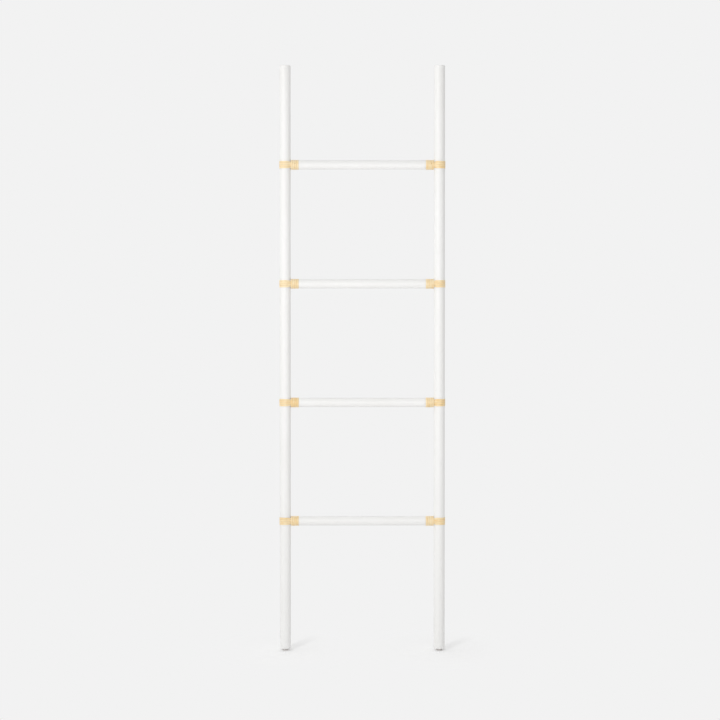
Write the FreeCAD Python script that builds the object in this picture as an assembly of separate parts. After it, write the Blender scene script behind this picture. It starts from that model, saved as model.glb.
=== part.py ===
import FreeCAD, Part
import math
import os

# Leaning towel rack: two round rails, four round rungs, and flat cane bound over every joint.
# Sizes are in millimetres and angles in degrees.
# Every piece is built with the rails upright, their axes in the plane y = 0 and meeting the floor at z = 0,
# the rungs along X and the front towards -Y. The rack is then leaned back as one, towards +Y.

# Rack
rack_length = 1700.0  # along a rail, from the floor to the top
rack_width = 480.0  # over the outsides of the rails
lean = 8.0  # of the rails, from upright

# Rails
rail_diameter = 32.0
rail_top_chamfer = 2.0
rail_foot_chamfer = 1.5

# Rungs, counted from the floor up
rung_count = 4
lowest_rung_height = 377.0  # along the rail, from the floor to the rung's axis
rung_pitch = 345.0
rung_diameter = 27.0
rung_seat_gap = 0.1  # between a rung's hollowed shoulder and the rail
tenon_diameter = 14.0
tenon_depth = 20.0  # into the rail, from its inner side
tenon_glue_gap = 0.05  # round the tenon and at its end
neck_cheek = 1.2  # of the neck's flats, outside the tenon

# Cane: flat strips of one section, laid side by side in a strap round the rail, and wound round the rung
cane_width = 5.3
cane_thickness = 1.1
cane_lay_gap = 0.15  # between a strip and whatever it lies on
strap_strips = 4  # side by side on the rail, joined here in one strap
winding_passes = 4  # across the front of the rung
winding_gap = 0.5  # between neighbouring passes
winding_stand = 0.8  # how far the winding stands out from the rung
winding_rail_gap = 0.6  # between the rail and the first pass

# Foot pads, each with a stem pressed into the end of its rail
pad_diameter = 17.0
pad_height = 5.0  # on the rail's axis; the sole is cut level with the floor
pad_stem_diameter = 6.0
pad_stem_length = 16.0
pad_stem_gap = 0.05  # round the stem and at its end

# Sizes that follow from those above
rail_radius = rail_diameter / 2
rail_offset = (rack_width - rail_diameter) / 2  # from the rack's middle to a rail's axis
rung_radius = rung_diameter / 2
rung_heights = [lowest_rung_height + rung_pitch * step for step in range(rung_count)]
strap_width = strap_strips * cane_width
strap_radius = rail_radius + cane_lay_gap + cane_thickness / 2  # middle of the strap round the rail
winding_pitch = cane_width + winding_gap
winding_start = rail_radius + winding_rail_gap  # from the rail's axis, along the rung
winding_end = winding_start + (winding_passes - 1) * winding_pitch + cane_width
winding_radius = rung_radius + winding_stand - cane_thickness / 2  # middle of the wound strip
neck_radius = winding_radius - cane_thickness / 2 - cane_lay_gap  # under the winding
neck_end = winding_end + cane_lay_gap
neck_flat = tenon_diameter / 2 + neck_cheek  # from the rung's axis, in front and behind
tail_depth = neck_flat + cane_lay_gap + cane_thickness / 2  # middle of a tail, from the rung's axis
tail_width = 2 * math.sqrt(neck_radius**2 - (tail_depth + cane_thickness / 2) ** 2)
tail_start = winding_start - cane_lay_gap  # where the tails come down on the neck, from the rail's axis
tail_end = winding_end - cane_width / 2
lean_sine = math.sin(math.radians(lean))
lean_cosine = math.cos(math.radians(lean))

origin = FreeCAD.Vector(0, 0, 0)
along_x = FreeCAD.Vector(1, 0, 0)
along_y = FreeCAD.Vector(0, 1, 0)
along_z = FreeCAD.Vector(0, 0, 1)


def rod(radius, length, start, direction):
    return Part.makeCylinder(radius, length, start, direction)


def turned(profile, axis):
    """A solid of revolution about X or Z through the origin, from points (along the axis, radius)."""
    out = along_z if axis is along_x else along_x
    points = [axis * along + out * radius for along, radius in profile]
    return Part.Face(Part.makePolygon(points + points[:1])).revolve(origin, axis, 360)


def at_joint(shape, height):
    """Moves a piece built about the origin, with its rung towards +X, to the left joint of a rung."""
    placed = shape.copy()
    placed.translate(FreeCAD.Vector(-rail_offset, 0, height))
    return placed


def mirrored(shape):
    return shape.mirror(origin, along_x)


# Left rail: a round pole with a blind mortise for each rung and a hole in its foot for the pad's stem
def left_rail():
    pole = turned([
        (pad_height, 0),
        (pad_height, rail_radius - rail_foot_chamfer),
        (pad_height + rail_foot_chamfer, rail_radius),
        (rack_length - rail_top_chamfer, rail_radius),
        (rack_length, rail_radius - rail_top_chamfer),
        (rack_length, 0),
    ], along_z)
    mortise_bottom = along_x * (rail_radius - tenon_depth - tenon_glue_gap)
    mortise = rod(tenon_diameter / 2 + tenon_glue_gap, rail_diameter, mortise_bottom, along_x)
    stem_hole_length = pad_stem_length + pad_stem_gap
    stem_hole = rod(pad_stem_diameter / 2 + pad_stem_gap, stem_hole_length, along_z * pad_height, along_z)
    cutters = [at_joint(mortise, height) for height in rung_heights]
    return at_joint(pole, 0).cut(cutters + [at_joint(stem_hole, 0)])


# Rung: a turned pole with tenons; each end is hollowed to fit the rail, and flattened for the straps' tails
def rung():
    shoulder = rail_offset - neck_end
    pole = turned([
        (-rail_offset, 0),
        (-rail_offset, neck_radius),
        (-shoulder, neck_radius),
        (-shoulder, rung_radius),
        (shoulder, rung_radius),
        (shoulder, neck_radius),
        (rail_offset, neck_radius),
        (rail_offset, 0),
    ], along_x)
    below = along_z * -rung_diameter
    hollow = rod(rail_radius + rung_seat_gap, 2 * rung_diameter, below, along_z)
    flat = Part.makeBox(neck_end, rung_diameter, 2 * rung_diameter, below + along_y * neck_flat)
    tenon_tip = along_x * (rail_radius - tenon_depth)
    tenon = at_joint(rod(tenon_diameter / 2, tenon_depth + neck_end - rail_radius, tenon_tip, along_x), 0)
    cutters = [at_joint(cutter, 0) for cutter in (hollow, flat, flat.mirror(origin, along_y))]
    shaped = pole.cut(cutters + [mirrored(cutter) for cutter in cutters])
    return shaped.fuse([tenon, mirrored(tenon)]).removeSplitter()


# Cane strap: it goes round the rail, leaves it on a straight line on each side and lies on the neck's flats
def strip_section(middle, across, width, out):
    """A closed rectangle of cane: its width along across and its thickness along out."""
    half_width = across * (width / 2)
    half_thickness = out * (cane_thickness / 2)
    corners = [
        middle - half_width - half_thickness,
        middle + half_width - half_thickness,
        middle + half_width + half_thickness,
        middle - half_width + half_thickness,
    ]
    return Part.makePolygon(corners + corners[:1])


def strap():
    """The joined strips of one joint, drawn together where they come down on the neck."""
    reach = math.hypot(tail_start, tail_depth)
    leaving = math.atan2(tail_depth, tail_start) + math.acos(strap_radius / reach)
    tails = []
    for side in (-1, 1):
        rail_out = FreeCAD.Vector(math.cos(leaving), side * math.sin(leaving), 0)
        leave = strip_section(rail_out * strap_radius, along_z, strap_width, rail_out)
        tail_out = along_y * side
        land = strip_section(tail_out * tail_depth + along_x * tail_start, along_z, tail_width, tail_out)
        end = strip_section(tail_out * tail_depth + along_x * tail_end, along_z, tail_width, tail_out)
        tails.append(Part.makeLoft([leave, land, end], True, True))
    loop = Part.Face(leave).revolve(origin, along_z, 360 - 2 * math.degrees(leaving))
    return loop.fuse(tails)


# Cane winding: the strip lies square across the front of the rung and steps along by one pass behind it
def winding_along(turn):
    """Distance of the strip's middle from the rail's axis after so many turns."""
    whole = math.floor(turn)
    behind = max(0.0, turn - whole - 0.5) * 2
    step = (1 - math.cos(math.pi * behind)) / 2
    return winding_start + cane_width / 2 + winding_pitch * (whole + step)


def winding_out(turn):
    angle = 2 * math.pi * turn
    return FreeCAD.Vector(0, -math.sin(angle), math.cos(angle))


def winding_point(turn):
    return along_x * winding_along(turn) + winding_out(turn) * winding_radius


def biarc(start, start_heading, end, end_heading):
    """Two arcs, from start along start_heading to end along end_heading, that meet on one tangent."""
    chord = end - start
    square = 2 * (1 - start_heading.dot(end_heading))
    linear = 2 * chord.dot(start_heading + end_heading)
    reach = (math.sqrt(linear**2 + 4 * square * chord.dot(chord)) - linear) / (2 * square)
    first_corner = start + start_heading * reach
    second_corner = end - end_heading * reach
    meeting = (first_corner + second_corner) * 0.5
    arcs = []
    for low, corner, high in ((start, first_corner, meeting), (meeting, second_corner, end)):
        middle = (low + high) * 0.5
        half = (high - low).Length / 2
        rise = corner - middle
        sagitta = half * math.tan(math.atan2(rise.Length, half) / 2)
        arcs.append(Part.Arc(low, middle + rise.normalize() * sagitta, high).toShape())
    return arcs


def winding_heading(turn):
    nudge = 1e-4
    return (winding_point(turn + nudge) - winding_point(turn - nudge)).normalize()


def winding():
    """The wound strip, on a biarc for each quarter turn; it starts above the rung and ends below it."""
    stops = [quarter / 4 for quarter in range(4 * winding_passes - 1)]
    edges = []
    for low, high in zip(stops, stops[1:]):
        edges += biarc(winding_point(low), winding_heading(low), winding_point(high), winding_heading(high))
    spine = Part.Wire(edges)
    shell = Part.BRepOffsetAPI.MakePipeShell(spine)
    for stop in stops:
        point = winding_point(stop)
        vertex = min(spine.Vertexes, key=lambda corner: corner.Point.distanceToPoint(point))
        section = strip_section(point, along_x, cane_width, winding_out(stop))
        shell.add(section, vertex, False, False)
    shell.build()
    shell.makeSolid()
    return shell.shape()


def least_winding_gap():
    """Shortest distance from the far edge of one pass to the near edge of any later one, on points."""
    samples_per_turn = 120
    turns = [step / samples_per_turn for step in range(int((winding_passes - 0.5) * samples_per_turn) + 1)]
    half = along_x * (cane_width / 2)
    far = [winding_point(turn) + half for turn in turns]
    near = [winding_point(turn) - half for turn in turns]
    later = samples_per_turn // 2
    return min(
        point.distanceToPoint(other)
        for index, point in enumerate(far)
        for other in near[index + later:]
    )


# Foot pad: a turned pad and stem; its sole is cut level once the rack leans
def left_pad():
    overlength = pad_diameter * lean_sine
    pad = turned([
        (-overlength, 0),
        (-overlength, pad_diameter / 2),
        (pad_height, pad_diameter / 2),
        (pad_height, pad_stem_diameter / 2),
        (pad_height + pad_stem_length, pad_stem_diameter / 2),
        (pad_height + pad_stem_length, 0),
    ], along_z)
    return at_joint(pad, 0)


# Leaning: turn about the floor line, then set the origin at the middle of the rack's depth
front_reach = rail_radius * lean_cosine - (pad_height + rail_foot_chamfer) * lean_sine
back_reach = rail_radius * lean_cosine + (rack_length - rail_top_chamfer) * lean_sine


def leaned(shape):
    placed = shape.copy()
    placed.rotate(origin, along_x, -lean)
    placed.translate(FreeCAD.Vector(0, (front_reach - back_reach) / 2, 0))
    return placed


def save(name, shapes):
    Part.makeCompound([leaned(shape) for shape in shapes]).exportStep(f"parts/{name}.step")


def save_pad(name, shape):
    under = FreeCAD.Vector(-rack_width, -rack_width, -rack_width)
    floor = Part.makeBox(2 * rack_width, 2 * rack_width, rack_width, under)
    leaned(shape).cut(floor).exportStep(f"parts/{name}.step")


# Assembly: the left joint's pieces are copied up the rail and mirrored for the right
os.makedirs("parts", exist_ok=True)
rail = left_rail()
save("left_rail", [rail])
save("right_rail", [mirrored(rail)])
pad = left_pad()
save_pad("left_foot_pad", pad)
save_pad("right_foot_pad", mirrored(pad))

rung_at_floor = rung()
bound = strap()
wound = winding()
for number, height in enumerate(rung_heights, start=1):
    placed_rung = rung_at_floor.copy()
    placed_rung.translate(along_z * height)
    save(f"rung_{number}", [placed_rung])
    left_strap = at_joint(bound, height)
    save(f"rung_{number}_straps", [left_strap, mirrored(left_strap)])
    left_winding = at_joint(wound, height)
    save(f"rung_{number}_windings", [left_winding, mirrored(left_winding)])
print(f"least gap of a winding to itself: {least_winding_gap():.2f} mm")
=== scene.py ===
import bpy
import math
import numpy as np
from mathutils import Matrix


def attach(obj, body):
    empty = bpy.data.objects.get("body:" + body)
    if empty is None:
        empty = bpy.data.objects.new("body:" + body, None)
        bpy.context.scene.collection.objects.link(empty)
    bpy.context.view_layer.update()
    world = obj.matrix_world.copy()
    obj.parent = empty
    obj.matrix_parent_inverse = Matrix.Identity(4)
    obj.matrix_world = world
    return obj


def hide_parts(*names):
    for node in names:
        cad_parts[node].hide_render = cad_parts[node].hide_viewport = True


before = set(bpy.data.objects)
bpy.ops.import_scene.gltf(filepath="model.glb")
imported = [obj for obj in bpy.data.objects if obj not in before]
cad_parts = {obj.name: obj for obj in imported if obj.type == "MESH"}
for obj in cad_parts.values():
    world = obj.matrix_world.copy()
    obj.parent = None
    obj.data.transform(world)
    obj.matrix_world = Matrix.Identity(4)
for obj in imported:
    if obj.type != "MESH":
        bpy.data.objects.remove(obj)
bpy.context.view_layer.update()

# Rails: two straight round poles of light wood, turned smooth, eased at the top edge and square at the foot.
# They are sprayed white and rubbed down between coats, which leaves a soft gloss and a trace of the grain.
rail_length = 1.700
rail_radius = 0.016
rail_offset = 0.224  # from the middle of the rack to a rail's axis
rail_foot = 0.005  # the pad's height, under the rail
rail_top_easing = 0.002
rail_foot_easing = 0.0015
lean = math.radians(8.0)
depth_shift = -0.11861  # puts the middle of the leaning rack's depth at y = 0
rail_inner_ring = 0.6  # of the radius, for the ring inside a flat end
rail_run_margin = 0.01  # from an end to the rings of the run between them
rail_run_rings = 140
rail_seeds = {-1: 11, 1: 12}
wave_depth = 0.00006  # how much thinner the lathe leaves a pole here and there
wave_lengths = (0.12, 0.7)  # metres
wave_count = 4
crisp_edge = math.radians(40)  # a sharper edge than this isn't shaded smooth
streak_pull = 0.025  # squeezes the paint's noise along the pole, which draws it out to streaks
paint_white = (0.885, 0.880, 0.868, 1.0)
paint_warm = (0.868, 0.860, 0.840, 1.0)


def leaned(points):
    """Points of the upright rack, turned back about the floor line by the lean and shifted in depth."""
    x, y, z = points[..., 0], points[..., 1], points[..., 2]
    back = y * math.cos(lean) + z * math.sin(lean) + depth_shift
    up = z * math.cos(lean) - y * math.sin(lean)
    return np.stack([x, back, up], axis=-1)


def closed_tube(rings):
    """A closed skin over rings of points: quads from each ring to the next, and a fan to the middle of the
    ring at each end. The faces are turned round if the volume they enclose comes out negative."""
    count, around = rings.shape[:2]
    vertices = np.concatenate([rings.reshape(-1, 3), rings[[0, -1]].mean(axis=1)])
    row, column = np.meshgrid(np.arange(count - 1), np.arange(around), indexing="ij")
    here = row * around + column
    beside = row * around + (column + 1) % around
    quads = np.stack([here, beside, beside + around, here + around], axis=-1).reshape(-1, 4)
    edge = np.arange(around)
    following = (edge + 1) % around
    last = (count - 1) * around
    first_fan = np.stack([following, edge, np.full(around, count * around)], axis=-1)
    last_fan = np.stack([last + edge, last + following, np.full(around, count * around + 1)], axis=-1)
    fans = np.concatenate([first_fan, last_fan])
    triangles = np.concatenate([quads[:, :3], quads[:, [0, 2, 3]], fans])
    a, b, c = (vertices[triangles[:, corner]] for corner in range(3))
    if np.einsum("ij,ij->i", a, np.cross(b, c)).sum() < 0:
        quads, fans = quads[:, ::-1], fans[:, ::-1]
    return vertices, quads, fans


def build_piece(name, tubes, material, marks=None):
    """One object from closed tubes, in its place in the leaning rack. Marks are vectors for each tube's
    points, which the cane's material reads as its place along and across the strip."""
    mesh = bpy.data.meshes.new(name)
    starts = np.cumsum([0] + [len(tube[0]) for tube in tubes[:-1]])
    faces = []
    for start, (_, quads, fans) in zip(starts, tubes):
        faces += (quads + start).tolist() + (fans + start).tolist()
    mesh.from_pydata(leaned(np.concatenate([tube[0] for tube in tubes])), [], faces)
    if marks is not None:
        layer = mesh.attributes.new("strip", "FLOAT_VECTOR", "POINT")
        layer.data.foreach_set("vector", np.concatenate(marks).astype(np.float32).ravel())
    mesh.shade_smooth()
    mesh.set_sharp_from_angle(angle=crisp_edge)
    mesh.materials.append(material)
    piece = bpy.data.objects.new(name, mesh)
    bpy.context.scene.collection.objects.link(piece)
    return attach(piece, "root")


def turned_rings(along, radius, axis, segments=96):
    """A turned form: at each distance along the axis, a circle of that radius about it."""
    angle = np.linspace(0, 2 * math.pi, segments, endpoint=False)
    across, depth = np.cos(angle), np.sin(angle)
    along, radius = np.asarray(along)[:, None], np.asarray(radius)[:, None]
    axial = along + 0 * across
    if axis == "x":
        return np.stack([axial, radius * depth, radius * across], axis=-1)
    return np.stack([radius * across, radius * depth, axial], axis=-1)


def eased_edge(length, radius, easing, steps=7):
    """The profile of a rounded end: a quarter circle from the side, at radius, to the flat end at length."""
    turn = np.linspace(0, math.pi / 2, steps)
    return length - easing * (1 - np.sin(turn)), radius - easing * (1 - np.cos(turn))


def slow_waves(along, seed):
    """The hand of the lathe: a sum of slow sines along the pole, from 0 down to minus the wave depth."""
    chance = np.random.default_rng(seed)
    wave = sum(
        np.sin(2 * math.pi * along / length + chance.uniform(0, 2 * math.pi))
        for length in chance.uniform(*wave_lengths, wave_count)
    )
    return -wave_depth * (0.5 + wave / (2 * wave_count))


class Wire:
    """A shader socket. Sums, differences, products and powers of wires and numbers add Math nodes."""

    def __init__(self, tree, socket=None):
        self.tree = tree
        self.socket = socket

    def node(self, kind, settings=None, sockets=None, output=0):
        """Any node: its type, its settings, then values or wires for its sockets. Gives one output."""
        made = self.tree.nodes.new("ShaderNode" + kind)
        for name, value in (settings or {}).items():
            setattr(made, name, value)
        for name, value in (sockets or {}).items():
            if isinstance(value, Wire):
                self.tree.links.new(value.socket, made.inputs[name])
            else:
                made.inputs[name].default_value = value
        return Wire(self.tree, made.outputs[output]) if made.outputs else None

    def maths(self, operation, first, second):
        """One Math node on two wires or numbers."""
        return self.node("Math", {"operation": operation}, {0: first, 1: second})

    def __add__(self, other):
        return self.maths("ADD", self, other)

    def __radd__(self, other):
        return self.maths("ADD", other, self)

    def __sub__(self, other):
        return self.maths("SUBTRACT", self, other)

    def __rsub__(self, other):
        return self.maths("SUBTRACT", other, self)

    def __mul__(self, other):
        return self.maths("MULTIPLY", self, other)

    def __rmul__(self, other):
        return self.maths("MULTIPLY", other, self)

    def __pow__(self, other):
        return self.maths("POWER", self, other)

    def blend(self, low, high):
        """The colour that goes from low to high as this value goes from 0 to 1."""
        return self.node(
            "Mix", {"data_type": "RGBA"}, {"Factor": self, "A": low, "B": high}, output="Result"
        )

    def between(self, low, high):
        """0 below low, 1 above high, and smooth from one to the other."""
        return self.node(
            "MapRange",
            {"interpolation_type": "SMOOTHSTEP"},
            {"Value": self, "From Min": low, "From Max": high},
        )


def start_finish(name):
    """A new material; gives it and the wire that its nodes grow from."""
    material = bpy.data.materials.new(name)
    material.use_nodes = True
    material.node_tree.nodes.clear()
    return material, Wire(material.node_tree)


def end_finish(start, sockets):
    """Puts the surface's sockets on a Principled shader and that on the material's output."""
    surface = start.node("BsdfPrincipled", None, sockets)
    start.node("OutputMaterial", None, {"Surface": surface})


def paint(name, along):
    """White paint: noise drawn out to streaks along the pole, slow warm patches, and a fine spray
    texture that is added to the streaks in the bump."""
    material, start = start_finish(name)
    place = start.node("TexCoord", output="Object")
    upright = start.node("Mapping", None, {"Vector": place, "Rotation": (lean, 0, 0)})
    stretch = (streak_pull, 1, 1) if along == "x" else (1, 1, streak_pull)
    drawn = start.node("VectorMath", {"operation": "MULTIPLY"}, {0: upright, 1: stretch})
    streak = start.node("TexNoise", None, {"Vector": drawn, "Scale": 1100, "Detail": 3, "Roughness": 0.6})
    patch = start.node("TexNoise", None, {"Vector": upright, "Scale": 7, "Detail": 2})
    spray = start.node("TexNoise", None, {"Vector": upright, "Scale": 1500, "Detail": 2})
    warm = patch.between(0.35, 0.75) * 0.6 + streak.between(0.55, 0.8) * 0.4
    relief = streak * 0.6 + spray * 0.4
    bump = start.node("Bump", None, {"Height": relief, "Strength": 0.06, "Distance": 0.0002})
    end_finish(start, {
        "Base Color": warm.blend(paint_white, paint_warm),
        "Roughness": 0.34 + streak * 0.12 + patch * 0.06,
        "IOR": 1.48,
        "Normal": bump,
    })
    return material


def rail_rings(side):
    """The pole: eased foot, a run with slow waves, eased top and the flat end, as circles about its axis."""
    foot_along, foot_radius = eased_edge(-rail_foot, rail_radius, rail_foot_easing)
    top_along, top_radius = eased_edge(rail_length, rail_radius, rail_top_easing)
    run = np.linspace(rail_foot + rail_run_margin, rail_length - rail_run_margin, rail_run_rings)
    inner = [rail_inner_ring * rail_radius]
    along = np.concatenate([[rail_foot], -foot_along[::-1], run, top_along, [rail_length]])
    radius = np.concatenate([inner, foot_radius[::-1], 0 * run + rail_radius, top_radius, inner])
    radius = radius + slow_waves(along, rail_seeds[side])
    return turned_rings(along, radius, "z") + np.array([side * rail_offset, 0, 0])


rail_paint = paint("white_rail_paint", "z")
for side, label in ((-1, "left"), (1, "right")):
    pole = build_piece(f"{label}_rail_pole", [closed_tube(rail_rings(side))], rail_paint)
    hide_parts(f"{label}_rail")

# Rungs: four turned poles, a little thinner than the rails, painted like them and glued into them by tenons.
# Each end has a neck for the tails of the cane and is hollowed to sit against the round of the rail.
rung_count = 4
lowest_rung = 0.377  # along the rail, from the floor
rung_spacing = 0.345
rung_heights = [lowest_rung + rung_spacing * step for step in range(rung_count)]
rung_radius = 0.0135
rung_seat = 0.0161  # radius of the hollow that meets the rail
neck_radius = 0.01154
neck_end = 0.03945  # from the rail's axis
neck_ring = 0.025  # from the rail's axis to a ring on the way along the neck
shoulder_easing = 0.0004
rung_run_margin = 0.006
rung_run_rings = 60
rung_seed = 20  # the number of the rung is added to it


def rung_rings(number):
    """The pole along X: necks that end on the rail's round, eased shoulders and a run with slow waves."""
    shoulder = rail_offset - neck_end
    end_along, end_radius = eased_edge(shoulder, rung_radius, shoulder_easing, steps=4)
    run = np.linspace(-shoulder + rung_run_margin, shoulder - rung_run_margin, rung_run_rings)
    half = np.concatenate([end_along, [shoulder, rail_offset - neck_ring, rail_offset]])
    half_radius = np.concatenate([end_radius, [neck_radius] * 3])
    along = np.concatenate([-half[::-1], run, half])
    radius = np.concatenate([half_radius[::-1], 0 * run + rung_radius, half_radius])
    rings = turned_rings(along, radius + slow_waves(along, rung_seed + number), "x")
    hollow = np.sqrt(rung_seat**2 - rings[[0, -1], :, 1] ** 2)
    rings[[0, -1], :, 0] -= hollow * np.array([[-1], [1]])
    return rings + np.array([0, 0, rung_heights[number - 1]])


rung_paint = paint("white_rung_paint", "x")
for number in range(1, rung_count + 1):
    pole = build_piece(f"rung_{number}_pole", [closed_tube(rung_rings(number))], rung_paint)
    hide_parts(f"rung_{number}")

# Straps: on each joint four strips of flat rattan peel, laid side by side round the outer side of the rail.
# Each is pulled off the rail at a tangent, twists to the round of the neck and lies along it, front and back.
cane_width = 0.0053
cane_thickness = 0.0011
strap_radius = 0.0167  # to the middle of the strip
tail_width = 0.0045  # a strip is pared narrower towards its tails
tail_radius = 0.01224
tail_step = math.radians(22.5)  # from tail to tail, round the neck
tail_start = 0.01645  # from the rail's axis
tail_end = 0.03665
tail_bend = 0.008  # radius of the soft bend where the strap comes down on the neck
loop_rings, leg_rings, bend_rings, tail_rings = 34, 12, 5, 4
twist_overrun = 2  # rings of the bend over which the twist goes on
strip_places = (-1.5, -0.5, 0.5, 1.5)  # of the four strips, in widths from the middle of the strap
side_power, crown_power, flat_power = 0.34, 0.62, 0.28  # a lower power is squarer
strap_shrink = (0.965, 0.985)  # of a strip's width, which leaves a fine line beside it
strap_drift = 0.00004  # how far a strip wanders to a side
strap_sway = (4, 9)  # radians that its wandering goes through
cane_pale = (0.955, 0.790, 0.510, 1.0)
cane_straw = (0.905, 0.640, 0.290, 1.0)
# The darkest brown serves the cane's own flecks and the painted shade at each strip's edges, where strips
# meet.
cane_shade_and_fleck = (0.430, 0.230, 0.075, 1.0)
# The edge band below is partly the darker cut edge and partly painted shade between neighbouring strips.
cane_edge = (0.0020, 0.0027)  # from the middle of a strip, where its cut edge darkens
strap_tints = {-1: (0, 0.5), 1: (0.4, 0.9)}  # the right side's cane is a shade deeper
joint_shades = {-1: (0.3, 0.45, -0.2, 0), 1: (0.1, 0.15, -0.15, 0)}  # added to tints, lowest rung first
chance = np.random.default_rng(5)


def strip_section(points=22):
    """The strip's outline, a rounded slab, flat below and crowned above, as shares of its width and
    thickness: powers of cosine and sine pull an ellipse out towards a rectangle, more below than above."""
    turn = np.linspace(0, 2 * math.pi, points, endpoint=False)
    power = np.where(np.sin(turn) > 0, crown_power, flat_power)
    width = np.sign(np.cos(turn)) * np.abs(np.cos(turn)) ** side_power
    height = np.sign(np.sin(turn)) * np.abs(np.sin(turn)) ** power
    return width / 2, height / 2


def strip_tube(middle, across, out, width, thickness, tint):
    """A strip of cane: its section carried along a line of points, across and out giving its two
    directions. Also gives each point's place: metres along, metres across, and the strip's own tint."""
    share_across, share_out = strip_section()
    width = np.broadcast_to(width, len(middle))[:, None] * share_across
    lift = np.broadcast_to(thickness, len(middle))[:, None] * (share_out + 0.5) - cane_thickness / 2
    rings = middle[:, None] + across[:, None] * width[..., None] + out[:, None] * lift[..., None]
    along = np.concatenate([[0], np.cumsum(np.linalg.norm(np.diff(middle, axis=0), axis=1))])
    place = np.stack(np.broadcast_arrays(along[:, None], share_across * cane_width, tint), axis=-1)
    ends = np.stack([[along[0], 0, tint], [along[-1], 0, tint]])
    return closed_tube(rings), np.concatenate([place.reshape(-1, 3), ends])


def unit(vectors):
    """Each vector divided by its length."""
    return vectors / np.linalg.norm(vectors, axis=-1, keepdims=True)


def strap_path(place):
    """A strap's middle line with its two directions: an arc round the rail, a straight leg on each side that
    twists as it goes, a soft bend and a straight tail. The back half mirrors the front half."""
    turn = place * tail_step
    tail_depth, tail_height = tail_radius * math.cos(turn), tail_radius * math.sin(turn)
    tail_distance = math.hypot(tail_start, tail_depth)
    leaving = math.atan2(tail_depth, tail_start) + math.acos(strap_radius / tail_distance)
    loop_angle = np.linspace(-math.pi, -leaving, loop_rings)
    loop_out = np.stack([np.cos(loop_angle), np.sin(loop_angle), 0 * loop_angle], axis=-1)
    loop = loop_out * strap_radius + np.array([0, 0, place * cane_width])
    landing = np.array([tail_start, -tail_depth, tail_height])
    heading = unit(landing - loop[-1])
    bend_half = tail_bend * math.tan(math.acos(heading[0]) / 2)
    leg_share = np.linspace(0, 1, leg_rings)[1:, None]
    leg = loop[-1] + (landing - heading * bend_half - loop[-1]) * leg_share
    bend_share = np.linspace(0, 1, bend_rings)[1:, None]
    bend_start, bend_end = leg[-1], landing + np.array([bend_half, 0, 0])
    bend = (
        bend_start * (1 - bend_share) ** 2
        + landing * 2 * bend_share * (1 - bend_share)
        + bend_end * bend_share**2
    )
    tail_share = np.linspace(0, 1, tail_rings)[1:, None]
    tail = bend_end + (landing * [0, 1, 1] + [tail_end, 0, 0] - bend_end) * tail_share
    middle = np.concatenate([loop, leg, bend, tail])
    twist = np.clip((np.arange(len(middle)) - len(loop)) / (len(leg) + twist_overrun), 0, 1)[:, None]
    twist = twist * twist * (3 - 2 * twist)
    rail_out = np.concatenate([loop_out, np.repeat(loop_out[-1:], len(middle) - len(loop), axis=0)])
    tail_out = np.array([0, -math.cos(turn), math.sin(turn)])
    out = unit(rail_out * (1 - twist) + tail_out * twist)
    ahead = unit(np.gradient(middle, axis=0))
    across = unit(np.cross(out, ahead))
    across = across * np.sign(across[:, 2:3])
    out = unit(out - ahead * np.sum(out * ahead, axis=1, keepdims=True))
    width = cane_width + (tail_width - cane_width) * twist[:, 0]
    back = np.array([1, -1, 1])
    return (
        np.concatenate([middle[:0:-1] * back, middle]),
        np.concatenate([across[:0:-1] * back, across]),
        np.concatenate([out[:0:-1] * back, out]),
        np.concatenate([width[:0:-1], width]),
    )


def cane():
    """Rattan peel: noise drawn out to fibres along the strip, with blotches, a few flecks and a waxy skin.
    The strip's tint deepens all of it. Its edges are darker: partly the cut edge, partly painted shade where
    strips meet."""
    material, start = start_finish("bound_cane")
    strip = start.node("Attribute", {"attribute_name": "strip"}, output="Vector")
    parts = start.node("SeparateXYZ", None, {"Vector": strip})
    across = Wire(start.tree, parts.socket.node.outputs["Y"])
    tint = Wire(start.tree, parts.socket.node.outputs["Z"])
    apart = start.node("CombineXYZ", None, {"X": tint * 3.0, "Y": tint * 0.7, "Z": tint * 5.0})
    placed = start.node("VectorMath", {"operation": "ADD"}, {0: strip, 1: apart})
    drawn = start.node("VectorMath", {"operation": "MULTIPLY"}, {0: placed, 1: (1, 30, 1)})
    fibre = start.node("TexNoise", None, {"Vector": drawn, "Scale": 55, "Detail": 5, "Roughness": 0.65})
    fine = start.node("TexNoise", None, {"Vector": drawn, "Scale": 190, "Detail": 3})
    patch_place = start.node("VectorMath", {"operation": "MULTIPLY"}, {0: placed, 1: (1, 3, 1)})
    patch = start.node("TexNoise", None, {"Vector": patch_place, "Scale": 60, "Detail": 2})
    fleck_place = start.node("VectorMath", {"operation": "MULTIPLY"}, {0: placed, 1: (1, 4, 1)})
    fleck = start.node("TexNoise", None, {"Vector": fleck_place, "Scale": 260, "Detail": 1})
    edge = start.node("Math", {"operation": "ABSOLUTE"}, {0: across}).between(*cane_edge)
    depth = fibre.between(0.38, 0.66) * 0.45 + fine.between(0.4, 0.7) * 0.2 + patch.between(0.38, 0.64) * 0.6
    depth = depth + tint * 0.7 - 0.46
    straw = depth.blend(cane_pale, cane_straw)
    # Painted shade: each strip's edges darken towards brown for the shade between strips, together with the
    # real cut edge; the flecks are the cane's own marks.
    shaded_edges_and_flecks = (edge * 0.5 + fleck.between(0.70, 0.78) * 0.3).blend(straw, cane_shade_and_fleck)
    relief = fibre * 0.7 + fine * 0.3
    bump = start.node("Bump", None, {"Height": relief, "Strength": 0.35, "Distance": 0.0003})
    end_finish(start, {
        "Base Color": shaded_edges_and_flecks,
        "Roughness": 0.36 + fibre * 0.16 + edge * 0.15,
        "IOR": 1.5,
        "Coat Weight": 0.6,
        "Coat Roughness": 0.42,
        "Normal": bump,
    })
    return material


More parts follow.
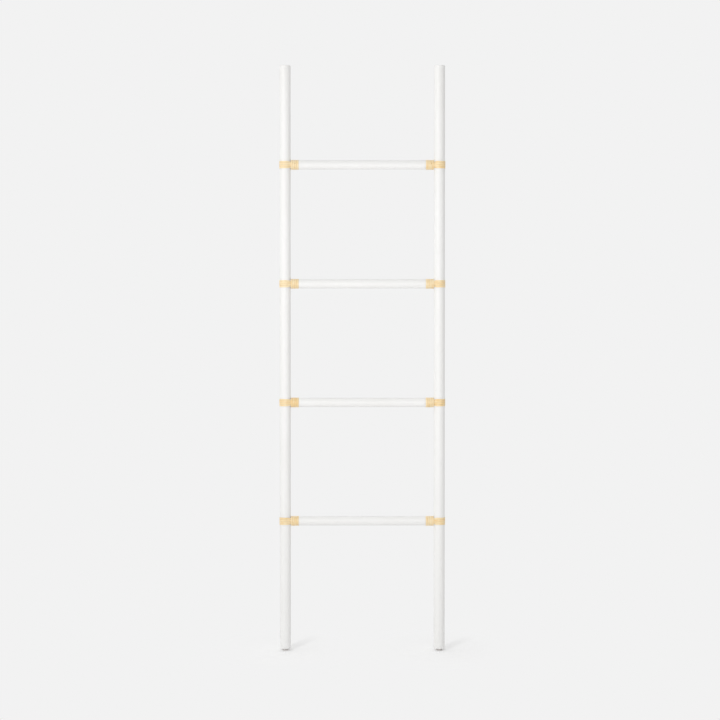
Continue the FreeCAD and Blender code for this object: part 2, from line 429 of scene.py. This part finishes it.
def at_joint(tube, side, height):
    """A tube built about the left joint, with its rung towards +X, moved to a joint of the rack."""
    vertices, quads, fans = tube
    if side > 0:
        quads, fans = quads[:, ::-1], fans[:, ::-1]
    placed = (vertices + np.array([-rail_offset, 0, height])) * np.array([-side, 1, 1])
    return placed, quads, fans


bound_cane = cane()
for number, height in enumerate(rung_heights, start=1):
    tubes, marks = [], []
    for side in (-1, 1):
        for place in strip_places:
            middle, across, out, width = strap_path(place)
            sway = np.linspace(0, chance.uniform(*strap_sway), len(middle))
            drift = np.sin(sway) * chance.uniform(-strap_drift, strap_drift)
            width = width * chance.uniform(*strap_shrink)
            tint = chance.uniform(*strap_tints[side]) + joint_shades[side][number - 1]
            middle = middle + across * drift[:, None]
            tube, mark = strip_tube(middle, across, out, width, cane_thickness, tint)
            tubes.append(at_joint(tube, side, height))
            marks.append(mark)
    straps = build_piece(f"rung_{number}_strap_strips", tubes, bound_cane, marks)
    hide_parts(f"rung_{number}_straps")

# Windings: one more strip on each joint, wound tightly round the rung over the tails, four passes in front.
# It lies square in front, steps along by a pass behind, and its ends are pared thin and held by a brad.
winding_pitch = 0.0058
winding_width = 0.0055  # beaten a little wider than the straps' strips
winding_start = 0.0166  # from the rail's axis
winding_radius = 0.01375  # to the middle of the strip
winding_turns = 3.5
winding_overlap = 0.1  # turns that each end runs on behind the rung
pared_share = 0.05  # turns over which an end is pared down
pared_end = 0.12  # of the thickness, at the very end
winding_rings = 260
winding_swell = 0.00005  # how much its width comes and goes
swell_run, swell_start = (14, 22), (0, 6)  # radians that this goes through, and starts at
winding_tints = (0.17, 0.72)


def winding_along(turn):
    """Distance from the rail's axis: still across the front half of a turn, then a smooth step behind it."""
    held = np.clip(turn, 0, winding_turns)
    behind = np.clip(held % 1 - 0.5, 0, 0.5) * 2
    passes = np.floor(held) + (1 - np.cos(math.pi * behind)) / 2
    return winding_start + cane_width / 2 + winding_pitch * passes


def winding_path():
    """The strip's middle line round the rung from top over front to back, with its two directions."""
    turn = np.linspace(-winding_overlap, winding_turns + winding_overlap, winding_rings)
    angle = 2 * math.pi * turn
    out = np.stack([0 * angle, -np.sin(angle), np.cos(angle)], axis=-1)
    middle = out * winding_radius
    middle[:, 0] = winding_along(turn)
    ahead = unit(np.gradient(middle, axis=0))
    across = unit(np.cross(out, ahead))
    from_end = np.minimum(turn - turn[0], turn[-1] - turn)
    thickness = cane_thickness * (pared_end + (1 - pared_end) * np.clip(from_end / pared_share, 0, 1))
    return middle, across, out, thickness


for number, height in enumerate(rung_heights, start=1):
    tubes, marks = [], []
    for side in (-1, 1):
        middle, across, out, thickness = winding_path()
        swell = np.linspace(0, chance.uniform(*swell_run), len(middle)) + chance.uniform(*swell_start)
        width = winding_width + winding_swell * np.sin(swell)
        tint = chance.uniform(*winding_tints) + joint_shades[side][number - 1]
        tube, mark = strip_tube(middle, across, out, width, thickness, tint)
        tubes.append(at_joint(tube, side, height))
        marks.append(mark)
    winding = build_piece(f"rung_{number}_winding_strips", tubes, bound_cane, marks)
    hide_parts(f"rung_{number}_windings")

# Brads: small brass nails with a domed head, one driven through each winding into the rung to hold it.
# On the top rung they are driven from the front, on the others from behind.
brad_radius = 0.0009
brad_dome = 0.0005
brad_underside = 0.95  # of the head's radius
shank_radius = 0.0004
shank_length = 0.0012
brad_seat = 0.01425  # from the rung's axis to the underside of the head
front_brads = {-1: 0.0292, 1: 0.0234}  # from the rail's axis, on the top rung
front_brad_turn = 0.205
back_brad_along = 0.02775
back_brad_turn = 0.75
brass_brown = (0.24, 0.15, 0.07, 1.0)
brass_bright = (0.36, 0.25, 0.13, 1.0)


def brad_tube(along, turn):
    """A domed head on a short shank: circles about a line, the dome a quarter of an ellipse, and the line
    turned about the rung's axis by the turn."""
    rise = np.linspace(0, math.pi / 2, 7)[:-1]
    height = np.concatenate([[-shank_length, 0, 0], brad_dome * np.sin(rise)])
    shank = [shank_radius, shank_radius, brad_radius * brad_underside]
    radius = np.concatenate([shank, brad_radius * np.cos(rise)])
    rings = turned_rings(height + brad_seat, radius, "z", segments=24)
    angle = 2 * math.pi * turn
    x, y, z = rings[..., 0], rings[..., 1], rings[..., 2]
    depth = y * math.cos(angle) - z * math.sin(angle)
    return np.stack([x + along, depth, z * math.cos(angle) + y * math.sin(angle)], axis=-1)


def brad_brass():
    """Browned brass: a dull metal, darker and rougher in blotches."""
    material, start = start_finish("brad_brass")
    place = start.node("TexCoord", output="Object")
    blotch = start.node("TexNoise", None, {"Vector": place, "Scale": 2400, "Detail": 3})
    end_finish(start, {
        "Base Color": blotch.blend(brass_brown, brass_bright),
        "Metallic": 1.0,
        "Roughness": 0.45 + blotch * 0.3,
    })
    return material


tubes = []
for number, height in enumerate(rung_heights, start=1):
    for side in (-1, 1):
        top = number == len(rung_heights)
        along = front_brads[side] if top else back_brad_along
        head = closed_tube(brad_tube(along, front_brad_turn if top else back_brad_turn))
        tubes.append(at_joint(head, side, height))
build_piece("winding_brads", tubes, brad_brass())

# Foot pads: a soft grey pad under each rail, smaller than it, on a stem that is pressed into the rail's end.
# The sole is cut to lie flat on the floor while the rail leans.
pad_radius = 0.0085
pad_easing = 0.0007
pad_top_easing = 0.0003
pad_inner_ring = 0.5  # of the radius, inside the sole and the top
pad_wall = np.linspace(0.3, 0.85, 5)  # rings up its side, as shares of its height
rubber_grey = (0.560, 0.530, 0.520, 1.0)
rubber_dusty = (0.650, 0.620, 0.605, 1.0)


def pad_rings(side):
    """Circles about the rail's axis from the sole to the rail: each is tilted by its share of the floor's
    slope, so the lowest lies on the floor and the highest square to the rail, and both edges are eased."""
    low_along, low_radius = eased_edge(0, pad_radius, pad_easing, steps=5)
    share = np.concatenate([[0], -low_along[::-1] / rail_foot, pad_wall, [1, 1]])
    inner = pad_inner_ring * pad_radius
    top = [pad_radius - pad_top_easing, inner]
    radius = np.concatenate([[inner], low_radius[::-1], 0 * pad_wall + pad_radius, top])
    rings = turned_rings(share * rail_foot, radius, "z", segments=64)
    rings[..., 2] += rings[..., 1] * math.tan(lean) * (1 - share)[:, None]
    return rings + np.array([side * rail_offset, 0, 0])


def rubber():
    """Moulded rubber: a matt grey with a fine tooth, dusty where it has stood on the floor."""
    material, start = start_finish("foot_rubber_grey")
    place = start.node("TexCoord", output="Object")
    tooth = start.node("TexNoise", None, {"Vector": place, "Scale": 3200, "Detail": 3})
    cloud = start.node("TexNoise", None, {"Vector": place, "Scale": 260, "Detail": 2})
    bump = start.node("Bump", None, {"Height": tooth, "Strength": 0.3, "Distance": 0.0002})
    end_finish(start, {
        "Base Color": cloud.between(0.35, 0.7).blend(rubber_grey, rubber_dusty),
        "Roughness": 0.62 + tooth * 0.2,
        "Normal": bump,
    })
    return material


foot_rubber = rubber()
for side, label in ((-1, "left"), (1, "right")):
    pad = build_piece(f"{label}_foot_rubber", [closed_tube(pad_rings(side))], foot_rubber)
    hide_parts(f"{label}_foot_pad")

# Studio: a plain pale floor that runs out into a background of the same tone, even light all round,
# soft lamps on the left and in front that give the poles form, and a small one that throws the shadow.
# Seen directly, the floor has the background's tone, and near the feet it shows the shadow.
studio_pale = (0.8879, 0.8879, 0.8879, 1.0)
floor_reach = 40.0
floor_gap = 0.0002  # under the pads
floor_bounce = (0.93, 0.93, 0.93, 1.0)  # its colour for light on its way round
floor_light = 0.874  # how bright a white floor would be round the feet, out of the shadow
shadow_reach = (0.03, 0.20)  # metres from a foot, over which the shadow fades away
round_light = 0.809
round_slope = (-0.2, 0.24, 0.18)  # how much more of it comes from the right, from behind and from above
# place, aim, width and height in metres, power in watts, spread in degrees, and whether it throws shadows
lamps = {
    "soft_lamp": ((-1.25, -1.80, 1.45), (0, 0.05, 1.35), (0.7, 0.9), 0.67, 70, False),
    "front_lamp": ((0.10, -2.10, 1.15), (0, 0, 1.00), (0.8, 0.5), 7.0, 180, False),
    "shadow_lamp": ((-2.95, -4.05, 3.20), (0, 0, 0.9), (0.25, 0.25), 53.0, 180, True),
}


def seen_directly(start):
    """1 for what the camera sees itself, or in gloss or through glass, and 0 for light on its way round."""
    path = start.node("LightPath").socket.node
    kinds = ("Is Camera Ray", "Is Glossy Ray", "Is Transmission Ray")
    camera, gloss, through = (Wire(start.tree, path.outputs[kind]) for kind in kinds)
    return start.maths("MAXIMUM", camera, start.maths("MAXIMUM", gloss, through))


def split(vector):
    """The three numbers of a vector, each as a wire."""
    parts = vector.node("SeparateXYZ", None, {"Vector": vector}).socket.node
    return [Wire(vector.tree, output) for output in parts.outputs]


floor_mesh = bpy.data.meshes.new("studio_floor")
corner = floor_reach * np.array([[-1, -1, 0], [1, -1, 0], [1, 1, 0], [-1, 1, 0]])
floor_mesh.from_pydata(corner + np.array([0, 0, -floor_gap]), [], [(0, 1, 2, 3)])
floor = bpy.data.objects.new("studio_floor", floor_mesh)
bpy.context.scene.collection.objects.link(floor)
floor_finish, start = start_finish("pale_floor")
x, y = split(start.node("TexCoord", output="Object"))[:2]
beside_foot = start.node("Math", {"operation": "ABSOLUTE"}, {0: x}) - rail_offset
before_foot = y - depth_shift
from_foot = (beside_foot * beside_foot + before_foot * before_foot) ** 0.5
open_floor = from_foot.between(*shadow_reach)
white = start.node("BsdfDiffuse", None, {"Color": (1, 1, 1, 1)})
lift = start.node("Emission", None, {"Color": (1, 1, 1, 1), "Strength": studio_pale[0] - floor_light})
shadowed = start.node("AddShader", None, {0: white, 1: lift})
glow = start.node("Emission", None, {"Color": studio_pale, "Strength": 1.0})
seen = start.node("MixShader", None, {0: open_floor, 1: shadowed, 2: glow})
unseen = start.node("BsdfDiffuse", None, {"Color": floor_bounce})
ground = start.node("MixShader", None, {0: seen_directly(start), 1: unseen, 2: seen})
start.node("OutputMaterial", None, {"Surface": ground})
floor_mesh.materials.append(floor_finish)

world = bpy.data.worlds.new("studio_light")
world.use_nodes = True
world.node_tree.nodes.clear()
start = Wire(world.node_tree)
x, y, z = split(start.node("TexCoord", output="Generated"))
slope = round_slope[0] * x + round_slope[1] * y + round_slope[2] * z
even = start.node("Background", None, {"Strength": round_light * (1 + slope)})
backdrop = start.node("Background", None, {"Color": studio_pale, "Strength": 1.0})
seen_world = start.node("MixShader", None, {0: seen_directly(start), 1: even, 2: backdrop})
start.node("OutputWorld", None, {"Surface": seen_world})
bpy.context.scene.world = world


def facing(place, target, up):
    """A matrix at place whose -Z looks at the target, with up showing upwards."""
    toward = unit(target - place)
    right = unit(np.cross(toward, up))
    columns = np.stack([right, np.cross(right, toward), -toward, place], axis=-1)
    return Matrix(np.vstack([columns, [0, 0, 0, 1]]))


for name, (place, aim, size, power, spread, shadow) in lamps.items():
    lamp = bpy.data.lights.new(name, "AREA")
    lamp.shape = "RECTANGLE"
    lamp.size, lamp.size_y = size
    lamp.energy = power
    lamp.spread = math.radians(spread)
    lamp.use_shadow = shadow
    stand = bpy.data.objects.new(name, lamp)
    bpy.context.scene.collection.objects.link(stand)
    stand.matrix_world = facing(np.array(place), np.array(aim), np.array([0, 0, 1.0]))

# Camera: nearly square to the leaning rack, so it looks down a little, with a long lens.
# The picture's middle falls on the point that is aimed at on the plane of the rails.
view_distance = 6.5
picture_width = 720  # pixels
view_scale = 0.002908  # metres to a pixel, on the plane of the rails
view_middle = np.array([-0.0067, 0, 0.8455])  # upright rack
view_tilt = math.radians(1.2)  # away from square to the rack
view_pitch = lean + view_tilt  # how far the camera looks down
camera = bpy.data.cameras.new("studio_camera")
camera.sensor_width = 36.0
camera.lens = view_distance / (picture_width * view_scale) * camera.sensor_width
camera.clip_end = 100
camera_stand = bpy.data.objects.new("studio_camera", camera)
bpy.context.scene.collection.objects.link(camera_stand)
rail_up = np.array([0, math.sin(lean), math.cos(lean)])
view_back = np.array([0, -math.cos(view_pitch), math.sin(view_pitch)])
aimed = leaned(view_middle)
camera_stand.matrix_world = facing(aimed + view_back * view_distance, aimed, rail_up)
bpy.context.scene.camera = camera_stand
bpy.context.scene.view_settings.view_transform = "Standard"
